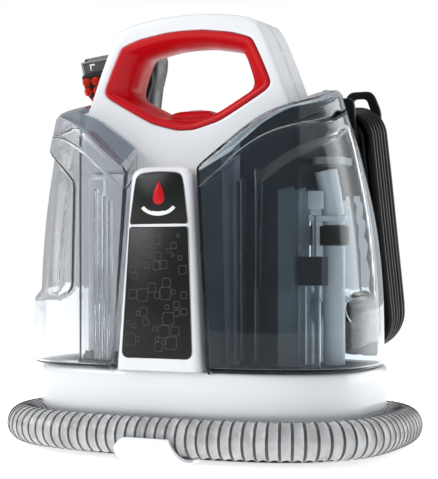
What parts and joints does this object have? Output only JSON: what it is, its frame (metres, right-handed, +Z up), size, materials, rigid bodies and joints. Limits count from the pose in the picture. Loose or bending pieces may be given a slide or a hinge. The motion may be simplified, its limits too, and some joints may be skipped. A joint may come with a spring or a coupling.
{
  "type": "spot extractor",
  "caption": "Portable spot extractor with clear side tanks, loop handle, wrapped suction hose, stowed hand tool and wound mains cord.",
  "frame": {"origin": "on the flat underside, at the middle of the base", "axes": "+X is the machine's right seen from the front, -Y its front, +Z up"},
  "size_m": [0.3104, 0.2541, 0.3197],
  "materials": {
    "white_gloss": "glossy moulded white plastic",
    "red_gloss": "glossy translucent-looking red plastic",
    "black_plastic": "satin black plastic",
    "panel_black": "gloss black panel",
    "clear_blue": "clear blue-grey moulded plastic",
    "smoke_clear": "smoked clear moulded plastic",
    "grey_plastic": "satin grey plastic",
    "rubber": "black rubber",
    "cord_black": "black cord jacket",
    "hose_grey": "translucent grey corrugated hose",
    "steel": "zinc-plated steel",
    "fan_aluminium": "cast aluminium",
    "float_white": "off-white plastic",
    "bristle_red": "red nylon bristles"
  },
  "bodies": {
    "machine": {"base_housing": "white_gloss", "base_plate": "black_plastic", "rubber_foot_1": "rubber", "rubber_foot_2": "rubber", "rubber_foot_3": "rubber", "rubber_foot_4": "rubber", "base_screw_1": "steel", "base_screw_2": "steel", "base_screw_3": "steel", "base_screw_4": "steel", "hose_clip": "white_gloss", "front_column": "white_gloss", "badge_panel": "panel_black", "pattern_panel": "panel_black", "main_housing": "white_gloss", "top_cover": "white_gloss", "handle_front_shell": "white_gloss", "handle_rear_shell": "white_gloss", "handle_liner": "red_gloss", "power_switch": "black_plastic", "clean_tank_receiver": "black_plastic", "dirty_tank_gasket": "rubber", "motor_mount": "black_plastic", "vacuum_motor": "steel", "fan_housing": "black_plastic", "suction_duct": "grey_plastic", "water_pump": "grey_plastic", "pump_bracket": "black_plastic", "hose_port": "black_plastic", "hose": "hose_grey", "tool_cradle": "black_plastic", "cord_hank": "cord_black", "lower_cord_hook": "black_plastic", "upper_hook_base": "black_plastic", "cord_gland": "rubber", "power_cord": "cord_black", "power_cord_tail": "cord_black", "plug": "cord_black"},
    "power_button": {"power_button": "red_gloss"},
    "clean_tank": {"clean_tank": "clear_blue", "valve_cap": "grey_plastic"},
    "clean_tank_lid": {"clean_tank_lid": "clear_blue"},
    "clean_valve": {"valve_poppet": "rubber"},
    "dirty_tank": {"dirty_tank": "smoke_clear", "separator_duct": "grey_plastic", "separator_baffle": "grey_plastic", "float_guide": "grey_plastic"},
    "dirty_tank_lid": {"dirty_tank_lid": "smoke_clear"},
    "drain_plug": {"drain_plug": "rubber"},
    "float": {"float": "float_white"},
    "fan": {"fan_impeller": "fan_aluminium"},
    "pump_piston": {"pump_piston": "steel"},
    "hand_tool": {"tool_cuff": "black_plastic", "tool_grip": "grey_plastic", "trigger_pin": "steel", "tool_nozzle": "smoke_clear", "brush_block": "black_plastic", "bristle_pad": "bristle_red"},
    "trigger": {"tool_trigger": "red_gloss"},
    "cord_hook": {"upper_cord_hook": "black_plastic"}
  },
  "joints": [
    {"name": "power_button_press", "type": "slide", "parent": "machine", "child": "power_button", "axis": [0, 0, -1], "range_m": [0, 0.003], "stiffness_N_per_m": 300, "springref_m": -0.002},
    {"name": "clean_tank_lift", "type": "slide", "parent": "machine", "child": "clean_tank", "axis": [0, 0, 1], "range_m": [0, 0.15]},
    {"name": "clean_lid_lift", "type": "slide", "parent": "clean_tank", "child": "clean_tank_lid", "axis": [0, 0, 1], "range_m": [0, 0.05]},
    {"name": "clean_valve_open", "type": "slide", "parent": "clean_tank", "child": "clean_valve", "axis": [0, 0, 1], "range_m": [0, 0.004], "stiffness_N_per_m": 100, "springref_m": -0.002},
    {"name": "dirty_tank_lift", "type": "slide", "parent": "machine", "child": "dirty_tank", "axis": [0, 0, 1], "range_m": [0, 0.15]},
    {"name": "dirty_lid_lift", "type": "slide", "parent": "dirty_tank", "child": "dirty_tank_lid", "axis": [0, 0, 1], "range_m": [0, 0.05]},
    {"name": "drain_plug_pull", "type": "slide", "parent": "dirty_tank", "child": "drain_plug", "axis": [0, 1, 0], "range_m": [0, 0.03]},
    {"name": "float_rise", "type": "slide", "parent": "dirty_tank", "child": "float", "axis": [0, 0, 1], "range_m": [0, 0.025]},
    {"name": "fan_spin", "type": "hinge", "parent": "machine", "child": "fan", "pos_m": [0, 0.006, 0.165], "axis": [0, 0, 1], "continuous": true},
    {"name": "piston_stroke", "type": "slide", "parent": "machine", "child": "pump_piston", "axis": [1, 0, 0], "range_m": [-0.0015, 0.004], "stiffness_N_per_m": 300},
    {"name": "tool_pull", "type": "slide", "parent": "machine", "child": "hand_tool", "axis": [-0.6726, 0.7083, 0.2143], "range_m": [0, 0.06]},
    {"name": "trigger_squeeze", "type": "hinge", "parent": "hand_tool", "child": "trigger", "pos_m": [-0.09772, 0.07541, 0.18154], "axis": [0.9958, -0.0225, 0.0892], "range_deg": [0, 8], "stiffness_Nm_per_rad": 0.3, "springref_deg": -5.73},
    {"name": "cord_hook_turn", "type": "hinge", "parent": "machine", "child": "cord_hook", "pos_m": [0.082, 0.06441, 0.23369], "axis": [0, 0.9877, 0.1564], "range_deg": [0, 180]}
  ]
}
